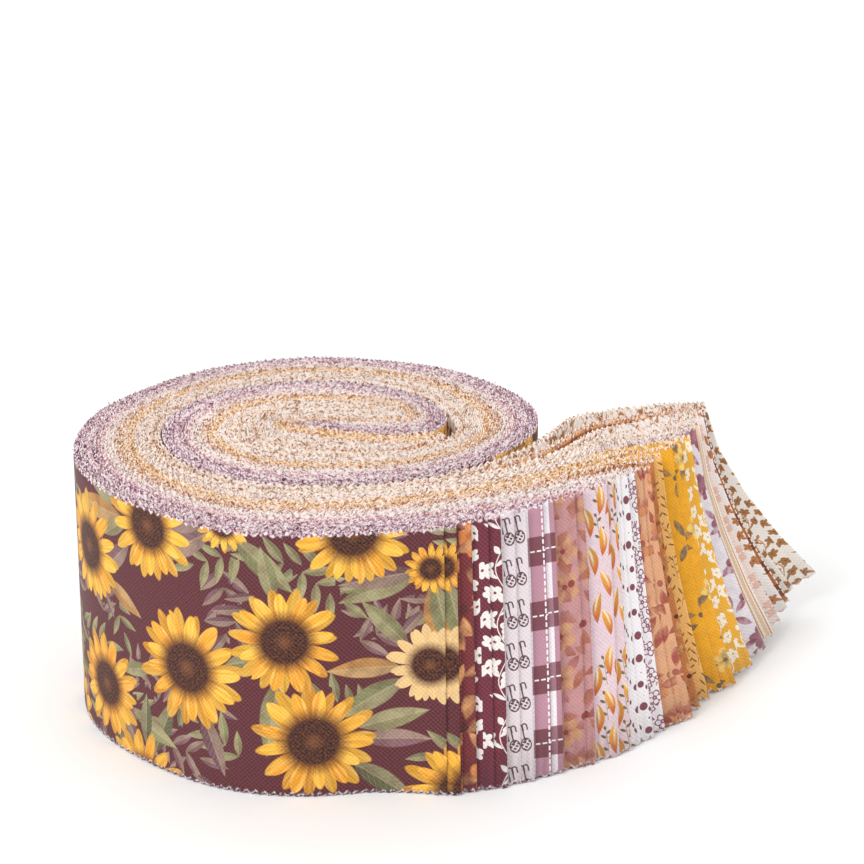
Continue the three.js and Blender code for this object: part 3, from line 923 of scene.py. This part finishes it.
def print_tossed(finish, u, v, look):
    """Flowers and leaves thrown over the ground, softly shaded."""
    size, ground, motif, second, accent = look_values(look)
    pitch = size * look.room
    soft = 0.08 * size
    wash = finish.noise(finish.point(u, v, 3.0), 1.6 / size, 3.0)
    colour = finish.mix(ground, toned(ground, 0.70), (wash * 3.0 - 1.2).within() * 0.5)
    for salt, shift in ((3.0, 0.0), (8.0, 0.5)):
        place_u, place_v = u + shift * pitch, v + shift * pitch * 0.7
        x, y, (a, b, c) = finish.cells(place_u, place_v, pitch, pitch * 1.1, 0.5, salt)
        x, y = finish.turn(x + (a - 0.5) * size, y + (b - 0.5) * size, c * ANY_ANGLE)
        for angle, length in ((0.5, 1.5), (2.7, 1.3), (4.4, 1.6)):
            lx, ly = finish.turn(x, y, angle)
            cover = finish.leaf(lx - 0.25 * size, ly + wash * 0.3, length * size, 0.28 * size, soft)
            leaf = finish.mix(second, accent, (lx * (0.7 / size) + wash * 1.6 - 1.0).within())
            leaf = finish.mix(leaf, ground, (wash * 4.0 - 1.7).within() * 0.55)
            vein = finish.line(lx, ly, 0.25 * size, size * length, 0.04, 0.1) * 0.6
            leaf = finish.mix(leaf, accent, vein)
            colour = finish.mix(colour, leaf, cover)
        if shift:
            colour = finish.mix(colour, accent, finish.disc(x, y, 0.2 * size, SOFT) * (b > 0.5))
            continue
        far = (x * x + y * y).root() * (1.0 / size)
        folds = abs((y.bearing(x) * 2.5).cos())
        bloom = finish.mix(accent, motif, (far * 1.9 + wash - 0.5).within())
        bloom = finish.mix(bloom, toned(motif, 1.25), (folds * 1.5 - 0.8).within() * 0.5)
        bloom = finish.mix(bloom, second, (wash * 4.0 - 2.0).within() * 0.8)
        colour = finish.mix(colour, bloom, finish.flower(x, y, 5.0, size * 0.9, soft) * 0.9)
        colour = finish.mix(colour, accent, finish.disc(x, y, 0.15 * size, SOFT))
    return colour


def print_vines(finish, u, v, look):
    """Thin stems that climb across the strip, with leaves on both sides and small flowers."""
    size, ground, motif, second, accent = look_values(look)
    pitch = size * look.room
    across = u * (1.0 / pitch)
    column = across.floor()
    a, _, _ = finish.chance(column, column * 0.0, 4.0)
    along = v + a * 30.0
    x = (across - column - 0.5) * pitch + (along * (1.3 / size)).sin() * (size * 0.4)
    colour = finish.mix(ground, second, ((0.17 - abs(x)) / 0.1).within())
    for salt, side in ((0.0, 1.0), (0.5, -1.0)):
        step = size * 2.1
        place = along * (1.0 / step) + salt
        row = place.floor()
        y = (place - row - 0.5) * step
        r, g, _ = finish.chance(column, row, 6.0 + salt)
        lx, ly = finish.turn(x * side, y + 0.7 * size, 0.75)
        colour = finish.mix(colour, second, finish.leaf(lx, ly, size * 1.1, size * 0.22, SOFT))
        fx, fy = x * side - size * (0.75 + 0.3 * g), y - size * 0.25
        shown = r > 0.3
        colour = finish.mix(colour, motif, finish.flower(fx, fy, 5.0, size * 0.78, SOFT) * shown)
        colour = finish.mix(colour, accent, finish.disc(fx, fy, size * 0.15, 0.1) * shown)
    return colour


# The pitch and the start of the rows of berries, in millimetres.
BERRY_PITCH = 9.65
BERRY_START = 3.1


def print_berries(finish, u, v, look):
    """Hatched berries on forked stems, in columns."""
    size, ground, motif, second, _ = look_values(look)
    x, y, (a, _, _) = finish.cells(u, v + BERRY_START, size * look.room, BERRY_PITCH, 0.06, 2.0)
    x, y = finish.turn(x + (a - 0.5) * 0.2 * size, y + 1.7 * size, 0.2)
    far = ((x * x) + (y * y) * 0.62).root()
    body = ((size - far) / SOFT).within()
    falling = ((x - y) * (0.9 / size)).fraction()
    hatch = ((x + y * 1.2) * (1.15 / size)).fraction().most(falling) < 0.62
    outline = (1.0 - (abs(far - 0.9 * size) / (0.2 * size))).within() * 1.6
    colour = finish.mix(ground, motif, (body * hatch + outline * body).within())
    cover = None
    for place, low, reach in ((-0.42, 1.1, 2.2), (0.34, 0.2, 3.1)):
        hook_x, hook_y = x - place * size, y - (low + reach) * size
        bend = abs((hook_x * hook_x + hook_y * hook_y).root() - 0.42 * size)
        hook = ((0.18 * size - bend) / SOFT).within() * (hook_y > 0.0)
        high, thick = (low + reach) * size, 0.18 * size
        leg = finish.line(y, hook_x + 0.42 * size, low * size, high, thick, SOFT)
        short = finish.line(y, hook_x - 0.42 * size, high - 0.8 * size, high, thick, SOFT)
        shape = hook.most(leg).most(short)
        cover = shape if cover is None else cover.most(shape)
    return finish.mix(colour, second, cover)


def print_dots(finish, u, v, look):
    """Round berries among small leaves."""
    size, ground, motif, second, _ = look_values(look)
    pitch = size * look.room
    x, y, (a, b, c) = finish.cells(u, v, pitch, pitch * 1.5, 0.5, 2.0)
    x, y = x + (a - 0.5) * size * 1.2, y + (b - 0.5) * size * 2.0
    colour = finish.mix(ground, motif, finish.disc(x, y, size * (0.85 + 0.3 * c), SOFT))
    for place_x, place_y, angle, long in (
        (0.3, 2.6, 1.3, 1.7), (-1.6, 0.4, 1.9, 1.9), (1.4, -1.8, 1.6, 1.5),
    ):
        lx, ly = finish.turn(x - place_x * size, y - place_y * size, angle)
        leaf = finish.leaf(lx, ly, size * long, size * 0.34, SOFT)
        colour = finish.mix(colour, second, leaf)
    return colour


def print_tulips(finish, u, v, look):
    """Curved buds in two tones with a pale gleam, over leafy twigs."""
    size, ground, motif, second, accent = look_values(look)
    pitch_u, pitch_v = size * 0.8, size * look.room
    wash = finish.noise(finish.point(u, v, 3.0), 0.9, 3.0)
    colour = finish.mix(ground, toned(ground, 0.86), (wash * 3.0 - 1.2).within() * 0.6)
    x, y, (a, b, _) = finish.cells(u + pitch_u * 0.45, v, pitch_u, size * 1.1, 0.5, 5.0)
    x = x + (y * (2.0 / size)).sin() * 0.5
    stem = finish.line(y, x, -0.45 * size, 0.42 * size, 0.12, 0.12) * (a > 0.2)
    colour = finish.mix(colour, second, stem)
    for place, angle, long in (
        (-0.3, 2.5, 0.22), (-0.1, 0.5, 0.26), (0.1, 2.6, 0.24), (0.22, 0.6, 0.2), (0.35, 1.9, 0.16),
    ):
        lx, ly = finish.turn(x, y - place * size, angle)
        leaf = finish.mix(second, toned(second, 0.5), (lx * 0.7 + wash - 0.5).within())
        cover = finish.leaf(lx, ly, size * long, size * 0.055, SOFT) * (a > 0.2)
        colour = finish.mix(colour, leaf, cover)
    x, y, (a, b, c) = finish.cells(u, v, pitch_u, pitch_v * 0.55, 0.5, 2.0)
    x, y = finish.turn(x + (a - 0.5) * 0.8, y + (b - 0.5) * 2.0, (c - 0.5) * 0.7)
    x = x + y * y * (0.35 / size) * (1.0 - 2.0 * (b > 0.5))
    for offset, lean, tone in ((0.12, 0.14, 0.72), (-0.1, -0.16, 1.0)):
        py, px = finish.turn(y + 0.5 * size, x - offset * size, lean)
        blush = (0.85 - py * (1.5 / size) + wash * 0.6).within()
        bud = finish.mix(toned(motif, tone), accent, blush)
        bud = finish.mix(bud, accent, (abs(px) * (5.0 / size) - 0.45).within() * 0.8)
        gleam = ((0.06 * size - abs(px + offset * 0.4 * size)) / 0.5).within()
        gleam = gleam * (py * (3.0 / size) - 0.8).within()
        bud = finish.mix(bud, [0.95, 0.84, 0.62], gleam)
        colour = finish.mix(colour, bud, finish.leaf(py, px, size, size * 0.155, 0.2) * (c > 0.15))
    return colour


def print_outlines(finish, u, v, look):
    """Flowers and leaves drawn in outline."""
    size, ground, motif, _, accent = look_values(look)
    pitch = size * look.room
    colour = ground
    for salt, shift, scale in ((2.0, 0.0, 1.0), (7.0, 0.5, 0.7)):
        place_u, place_v = u + shift * pitch, v + shift * pitch * 1.4
        x, y, (a, b, c) = finish.cells(place_u, place_v, pitch, pitch * 1.3, 0.5, salt)
        x, y = finish.turn(x + (a - 0.5) * size, y + (b - 0.5) * size, c * ANY_ANGLE)
        radius = size * scale
        for angle in (0.7, 3.4):
            lx, ly = finish.turn(x, y, angle)
            leaf = finish.leaf(lx - 0.9 * radius, ly, radius * 1.2, radius * 0.28, SOFT)
            inner = finish.leaf(lx - 1.1 * radius, ly, radius * 0.85, radius * 0.12, SOFT)
            colour = finish.mix(colour, accent, (leaf - inner).within())
        inner = finish.flower(x, y, 5.0, radius - 0.34, SOFT)
        rings = (finish.flower(x, y, 5.0, radius, SOFT) - inner).within()
        veins = (abs((y.bearing(x) * 2.5).sin()) > 0.93) * finish.disc(x, y, radius * 0.8, SOFT)
        heart = finish.disc(x, y, radius * 0.3, SOFT) - finish.disc(x, y, radius * 0.12, SOFT)
        colour = finish.mix(colour, ground, finish.flower(x, y, 5.0, radius, SOFT))
        colour = finish.mix(colour, motif, (rings + veins * 0.7 + heart).within())
    return colour


def print_sprigs(finish, u, v, look):
    """Fine upright twigs with narrow leaves to both sides."""
    size, ground, motif, second, _ = look_values(look)
    wash = finish.noise(finish.point(u, v, 3.0), 0.5, 3.0)
    colour = finish.mix(ground, toned(ground, 1.2), (wash * 3.0 - 1.2).within() * 0.5)
    x, y, (a, b, c) = finish.cells(u, v, size * look.room, size * 2.6, 0.5, 4.0)
    x, y = finish.turn(x + (a - 0.5) * 0.6 * size, y + (b - 0.5) * 0.7 * size, (c - 0.5) * 0.9)
    stem = finish.line(y, x + (y * (1.1 / size)).sin() * (0.12 * size), -size, size, 0.1, 0.1)
    colour = finish.mix(colour, motif, stem)
    for place, angle, long in (
        (-0.75, 2.5, 0.7), (-0.5, 0.6, 0.8), (-0.1, 2.4, 0.85), (0.15, 0.7, 0.8), (0.55, 2.3, 0.7),
        (0.75, 0.9, 0.6),
    ):
        lx, ly = finish.turn(x, y - place * size, angle)
        tone = finish.mix(motif, second, (lx * (1.2 / size)).within())
        colour = finish.mix(colour, tone, finish.leaf(lx, ly, size * long, size * 0.09, SOFT))
    return colour


# Where the checks start up the strip, as a share of one check, and the length of a stitch.
CHECK_START = 0.95
STITCH = 1.6


def print_gingham(finish, u, v, look):
    """Checks of two crossing bands, with a stitched line along the middle of each band."""
    size, ground, motif, second, accent = look_values(look)
    half_band, soft = 0.5 * look.room, SOFT / size
    across = (u * (1.0 / size) + 0.5).fraction() - 0.5
    up = (v * (1.0 / size) + CHECK_START).fraction() - 0.5
    band_u = ((half_band - abs(across)) / soft + 0.5).within()
    band_v = ((half_band - abs(up)) / soft + 0.5).within()
    thread = ((u - v) * 1.6).fraction() * 0.22
    colour = finish.mix(ground, motif, band_u * (1.0 - thread))
    colour = finish.mix(colour, second, band_v * (1.0 - band_u) * (1.0 - thread))
    colour = finish.mix(colour, accent, band_u * band_v * (1.0 - thread * 0.6))
    for line, run in ((across, v), (up, u)):
        stitch = ((0.24 / size - abs(line)) / (0.12 / size)).within()
        stitch = stitch * ((run * (1.0 / STITCH)).fraction() < 0.66)
        colour = finish.mix(colour, [0.93, 0.88, 0.90], stitch)
    return colour


def print_stripes(finish, u, v, look):
    """Narrow stripes across the strip."""
    size, ground, motif, second, _ = look_values(look)
    place = (u * (1.0 / size)).fraction()
    colour = finish.mix(ground, motif, place < 0.45)
    return finish.mix(colour, second, (place > 0.62) * (place < 0.76))


def look_values(look):
    """Size in millimetres and the four colours of a print."""
    return look.size / MM, list(look.ground), list(look.motif), list(look.second), list(look.accent)


def sunflower_leaf(finish, x, y, shade, grain):
    """Colour and cover of a leaf, paler on one side of its midrib."""
    across = abs(y)
    width = LEAF_HALF_WIDTH * (1.0 - x * x) * (1.0 - 0.22 * x)
    cover = ((width - across) / 0.035).within()
    tones = ("747a52", "979268", "5c6244", "684252", "86606a", "a86c34", "d0a05c")
    places = (0.0, 0.2, 0.36, 0.46, 0.66, 0.80, 0.92)
    stops = [(place, linear(code)) for place, code in zip(places, tones)]
    leaf = finish.add("ShaderNodeValToRGB", {"stops": stops}, {"Fac": shade})["Color"]
    leaf = finish.mix(leaf, linear("cdbd94"), (y * 9.0 + 0.5).within() * 0.3)
    leaf = finish.mix(leaf, linear("4a3a34"), ((0.1 - x) * 0.9).within() * 0.45)
    veins = (((x - across * 1.1) * 5.5).fraction() < 0.14) * 0.4
    leaf = finish.mix(leaf, linear("cbb88c"), (veins + (across < 0.022) * 0.7).within() * 0.45)
    return finish.mix(leaf, linear("5a3826"), (grain * 2.6 - 1.1).within() * 0.6), cover


def sunflower_head(finish, x, y, shade, speck):
    """Colour and cover of a head with two rings of pointed petals round a dark heart."""
    far = (x * x + y * y).root()
    bearing = y.bearing(x)
    head, head_cover = None, None
    rings = ((15.0, 0.37, 1.0, 0.74), (13.0, 0.0, 0.94, 1.0))
    for ring, (count, offset, tip, tone) in enumerate(rings):
        turn = bearing * (count / TURN) + offset
        petal = turn.floor()
        t = (turn - petal - 0.5) * 2.0
        r, g, b = finish.chance(petal, (shade * 40.0).floor(), 2.0 * ring)
        bent = t + (g - 0.5) * 0.5 * far
        reach = (tip - 0.15 * r) - 0.42 * (abs(bent) ** 1.8)
        cover = ((reach - far) / 0.03).within()
        streak = finish.noise(finish.point(t * 1.3, far * 0.6, petal + 3.0 * ring), 3.2, 2.0)
        colour = finish.mix(toned(linear("f7bd3e"), tone), toned(linear("e69a26"), tone), b)
        base, gleam = (1.55 - far * 2.5).within() * 0.8, (streak * 3.4 - 1.55).within() * 0.6
        colour = finish.mix(colour, toned(linear("b4601a"), tone), base)
        colour = finish.mix(colour, toned(linear("ffd97e"), tone), gleam)
        colour = finish.mix(colour, linear("8a4a14"), ((1.0 - streak) * 3.2 - 1.75).within() * 0.5)
        edge = ((abs(t) - 0.66) * 3.0).within() * 0.7
        colour = finish.mix(colour, toned(linear("9a5718"), tone), edge)
        head = colour if head is None else finish.mix(head, colour, cover)
        head_cover = cover if head_cover is None else head_cover.most(cover)
    head = finish.mix(head, linear("e6c898"), (shade > 0.75) * 0.7)
    heart = finish.mix(linear("2c1610"), linear("6a3820"), (speck * 3.4 - 1.35).within())
    heart = finish.mix(heart, linear("8a5630"), ((0.17 - far) / 0.16).within() * 0.6)
    wobble = speck * 0.10
    shadow = ((0.52 + wobble - far) / 0.16).within() * 0.75
    head = finish.mix(head, linear("4e2410"), shadow)
    return finish.mix(head, heart, ((0.36 + wobble - far) / 0.05).within()), head_cover


def print_sunflowers(finish, u, v, look):
    """Sunflowers, leaves and sprigs, from their stored places."""
    _, ground, _, _, _ = look_values(look)
    place = finish.point(u, v)
    speckle = finish.noise(place, 2.2, 3.0)
    speck = finish.noise(place, 1.7, 2.0)
    colour = finish.mix(toned(ground, 0.78), ground, (speckle * 2.2 - 0.55).within())
    grain = finish.noise(place, 0.3, 2.0)
    for slot in range(SLOTS):
        x, y, kind = finish.parts(finish.stored(f"motif_{slot}")["Vector"])
        shade = kind.fraction()
        leaf, leaf_cover = sunflower_leaf(finish, x, y, shade, grain)
        head, head_cover = sunflower_head(finish, x, y, shade, speck)
        colour = finish.mix(colour, leaf, leaf_cover * (kind > 0.995) * (kind < 2.0))
        colour = finish.mix(colour, head, head_cover * (kind < 0.995))
    return colour


PRINT_MAKERS = {
    "SUNFLOWERS": print_sunflowers,
    "TOSSED": print_tossed,
    "VINES": print_vines,
    "BERRIES": print_berries,
    "DOTS": print_dots,
    "TULIPS": print_tulips,
    "OUTLINES": print_outlines,
    "SPRIGS": print_sprigs,
    "GINGHAM": print_gingham,
    "STRIPES": print_stripes,
}


def printed_cotton(name, number, look, strips):
    """Plain-weave quilting cotton: printed front, pale back, frayed cut edges."""
    finish = Finish(name)
    u, v, _ = finish.parts(finish.map("cloth"))
    u, v = u * (1 / MM), v * (1 / MM)
    low, high, _ = finish.parts(finish.map("edge"))
    side = finish.stored("side")["Fac"]
    strip = finish.stored("strip")["Fac"]
    start_a, start_b = look.start_a / MM, look.start_b / MM
    front = PRINT_MAKERS[look.pattern](finish, u + (strip * (start_b - start_a) + start_a), v, look)
    colours = (look.ground, strips.thread_colour, look.edge, look.speck)
    ground, white, edge, speck = (list(c) for c in colours)
    back = [0.65 * g + 0.35 * w for g, w in zip(ground, white)]
    colour = finish.mix(front, back, (side > 0.5) * (side < 1.5))
    # The weave: threads that cross, and slubs along them
    salt = strip * 5.0 + 11.0 * number
    waves = TURN / WEAVE_PITCH
    twist = ((u + v) * waves).sin() * 0.6 + ((u - v) * waves).sin() * 0.4
    slub = finish.noise(finish.point(u * 2.0, v * 2.0, salt), 1.5, 3.0)
    weave = slub * 0.9 - 0.3 + twist * 0.24
    colour = finish.mix(colour, toned(ground, 0.25), weave.within() * 0.5)
    colour = finish.mix(colour, [0.4 * g + 0.5 for g in ground], (0.3 - weave).within() * 0.14)
    # The cut edges: frayed, and speckled at random with a darker tone that is partly the print of
    # deeper layers and partly painted shade between the teeth
    lint = finish.noise(finish.point(u, v * 0.8, salt), 1.5, 2.0)
    tone = (lint - 0.5) * 5.2 + 0.6
    frayed = finish.mix(speck, edge, (tone * 2.0).within())
    frayed = finish.mix(frayed, white, (tone * 2.0 - 1.0).within())
    near = low.least(high) * (1 / MM)
    fray = ((0.3 - near + lint * 0.7) * 2.2).within()
    colour = finish.mix(colour, frayed, (fray * 0.85).most(side > 1.5))
    width = strips.width / MM
    # Painted shade: rim faces that lie deeper in a notch are darkened towards half the speck tone.
    notch = ((v.least(width - v) - 0.3) * 1.7).within() * (side > 1.5) * (side < 2.5)
    colour = finish.mix(colour, toned(speck, 0.5), notch * 0.6)
    bump = finish.add(
        "ShaderNodeBump", None,
        {"Strength": 0.4, "Distance": 0.0001, "Height": twist * 0.5 + slub * 0.8},
    )["Normal"]
    shader = finish.add(
        "ShaderNodeBsdfPrincipled", None,
        {"Base Color": colour, "Roughness": 0.88, "Specular IOR Level": 0.25, "Sheen Weight": 0.1,
         "Sheen Roughness": 0.45, "Normal": bump},
    )["BSDF"]
    finish.add("ShaderNodeOutputMaterial", None, {"Surface": shader})
    return finish.material


# Pieces

# Points up a strip, and up one that stores the places of motifs.
LEVELS = 5
MOTIF_LEVELS = 41


def place_object(name, mesh):
    made = bpy.data.objects.new(name, mesh)
    bpy.context.scene.collection.objects.link(made)
    return made


def add_print_strips(scene, bundle, number):
    """The two strips of one print."""
    look, strips = scene.quilt_prints[number], scene.quilt_strips
    name = look.name
    node = f"strips_{name}"
    finish = printed_cotton(f"cotton_{name}", number, look, strips)
    motifs = None
    levels = np.linspace(0.0, 1.0, LEVELS)
    if look.pattern == "SUNFLOWERS":
        levels = np.linspace(0.0, 1.0, MOTIF_LEVELS)
        half = 0.5 * strips.length / MM
        rng = np.random.default_rng(SUNFLOWER_SEED)
        motifs = sunflower_motifs(-half, half, strips.width / MM, look.size / MM, rng)
    for half, label in enumerate(("a", "b")):
        surface = Surface(strips.length / MM)
        layer = number * LAYERS_A_PRINT + 2 * half
        add_strip(surface, bundle, layer, strips, levels, motifs is not None)
        mesh = surface.mesh(f"strip_{name}_{label}", half)
        if motifs:
            add_motif_slots(mesh, motifs)
        piece = place_object(f"strip_{name}_{label}", mesh)
        mesh.materials.append(finish)
        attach(piece, "root")
        if half == 0:
            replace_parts(piece, node, "wound_roll") if number == 0 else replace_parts(piece, node)


class QUILTROLL_OT_prints(bpy.types.Operator):
    """List the twenty prints with their colours"""

    bl_idname = "quilt_roll.list_prints"
    bl_label = "List prints"

    def execute(self, context):
        prints = context.scene.quilt_prints
        prints.clear()
        for row in PRINTS:
            values = dict(zip(PRINT_COLUMNS, row))
            entry = prints.add()
            entry.name = values["name"]
            entry.pattern = values["pattern"]
            for part in ("ground", "motif", "second", "accent"):
                setattr(entry, part, linear(values[part]))
            entry.edge, entry.speck = (linear(code) for code in EDGE_TONES[values["edge"]])
            for part in ("size", "start_a", "start_b"):
                setattr(entry, part, values[part] * MM)
            entry.room, entry.reach = values["room"], values["reach"]
        return {"FINISHED"}


class QUILTROLL_OT_strips(bpy.types.Operator):
    """Cut, fold and wind the forty strips"""

    bl_idname = "quilt_roll.add_strips"
    bl_label = "Add strips"

    def execute(self, context):
        scene = context.scene
        if not len(scene.quilt_prints):
            raise RuntimeError("list the prints first")
        bundle = Bundle(scene.quilt_prints, scene.quilt_strips)
        for number in range(len(scene.quilt_prints)):
            add_print_strips(scene, bundle, number)
        return {"FINISHED"}


class QUILTROLL_OT_stage(bpy.types.Operator):
    """Add the floor, the lights and the camera"""

    bl_idname = "quilt_roll.add_stage"
    bl_label = "Add stage"

    def execute(self, context):
        scene, look = context.scene, context.scene.quilt_stage
        mesh = bpy.data.meshes.new("floor")
        far = 6.0
        corners = [(-far, -far, 0), (far, -far, 0), (far, far, 0), (-far, far, 0)]
        mesh.from_pydata(corners, [], [(0, 1, 2, 3)])
        floor = place_object("floor", mesh)
        finish = Finish("floor_paper")
        shader = finish.add(
            "ShaderNodeBsdfPrincipled", None, {"Base Color": list(look.floor), "Roughness": 0.9}
        )["BSDF"]
        finish.add("ShaderNodeOutputMaterial", None, {"Surface": shader})
        mesh.materials.append(finish.material)
        world = bpy.data.worlds.new("room")
        world.use_nodes = True
        background = world.node_tree.nodes["Background"]
        background.inputs["Color"].default_value = (1.0, 1.0, 1.0, 1.0)
        background.inputs["Strength"].default_value = look.sky
        scene.world = world
        for name, power, size, place in (
            ("key_light", look.key, 0.6, (-0.70, -0.85, 0.85)),
            ("fill_light", look.fill, 0.9, (0.95, -0.55, 0.8)),
            ("back_light", look.back, 1.2, (0.02, 0.95, 1.1)),
        ):
            light = bpy.data.lights.new(name, "AREA")
            light.energy = power
            light.size = size
            lamp = bpy.data.objects.new(name, light)
            scene.collection.objects.link(lamp)
            lamp.location = place
            aim = np.array([0.02, 0.6 * max(place[1], 0.0), 0.03]) - np.array(place)
            down = math.atan2(math.hypot(aim[0], aim[1]), -aim[2])
            lamp.rotation_euler = (down, 0.0, math.atan2(aim[0], -aim[1]) + math.pi)
        camera = bpy.data.cameras.new("camera")
        camera.lens = look.camera_lens
        camera.sensor_width = 36.0
        camera.sensor_fit = "HORIZONTAL"
        seat = bpy.data.objects.new("camera", camera)
        scene.collection.objects.link(seat)
        seat.location = look.camera_place
        seat.rotation_euler = (math.pi / 2 - look.camera_tilt, 0.0, 0.0)
        scene.camera = seat
        scene.view_settings.view_transform = "Standard"
        return {"FINISHED"}


class QUILTROLL_PT_panel(bpy.types.Panel):
    """Sizes, colours and steps of the roll"""

    bl_idname = "QUILTROLL_PT_panel"
    bl_label = "Roll of quilting strips"
    bl_space_type = "VIEW_3D"
    bl_region_type = "UI"
    bl_category = "Quilt Roll"

    def draw(self, context):
        scene, layout = context.scene, self.layout
        layout.operator(QUILTROLL_OT_prints.bl_idname)
        layout.operator(QUILTROLL_OT_strips.bl_idname)
        layout.operator(QUILTROLL_OT_stage.bl_idname)
        for group in (scene.quilt_strips, scene.quilt_stage):
            box = layout.box()
            for name in group.__annotations__:
                box.prop(group, name)
        for entry in scene.quilt_prints:
            box = layout.box()
            box.label(text=entry.name)
            for name in entry.__annotations__:
                box.prop(entry, name)


CLASSES = (
    QUILTROLL_PG_print, QUILTROLL_PG_strips, QUILTROLL_PG_stage,
    QUILTROLL_OT_prints, QUILTROLL_OT_strips, QUILTROLL_OT_stage, QUILTROLL_PT_panel,
)


def register():
    for cls in CLASSES:
        bpy.utils.register_class(cls)
    bpy.types.Scene.quilt_prints = bpy.props.CollectionProperty(type=QUILTROLL_PG_print)
    bpy.types.Scene.quilt_strips = bpy.props.PointerProperty(type=QUILTROLL_PG_strips)
    bpy.types.Scene.quilt_stage = bpy.props.PointerProperty(type=QUILTROLL_PG_stage)


def unregister():
    del bpy.types.Scene.quilt_stage
    del bpy.types.Scene.quilt_strips
    del bpy.types.Scene.quilt_prints
    for cls in reversed(CLASSES):
        bpy.utils.unregister_class(cls)


def main():
    register()
    bpy.ops.quilt_roll.list_prints()
    bpy.ops.quilt_roll.add_stage()
    bpy.ops.quilt_roll.add_strips()


if __name__ == "__main__":
    main()
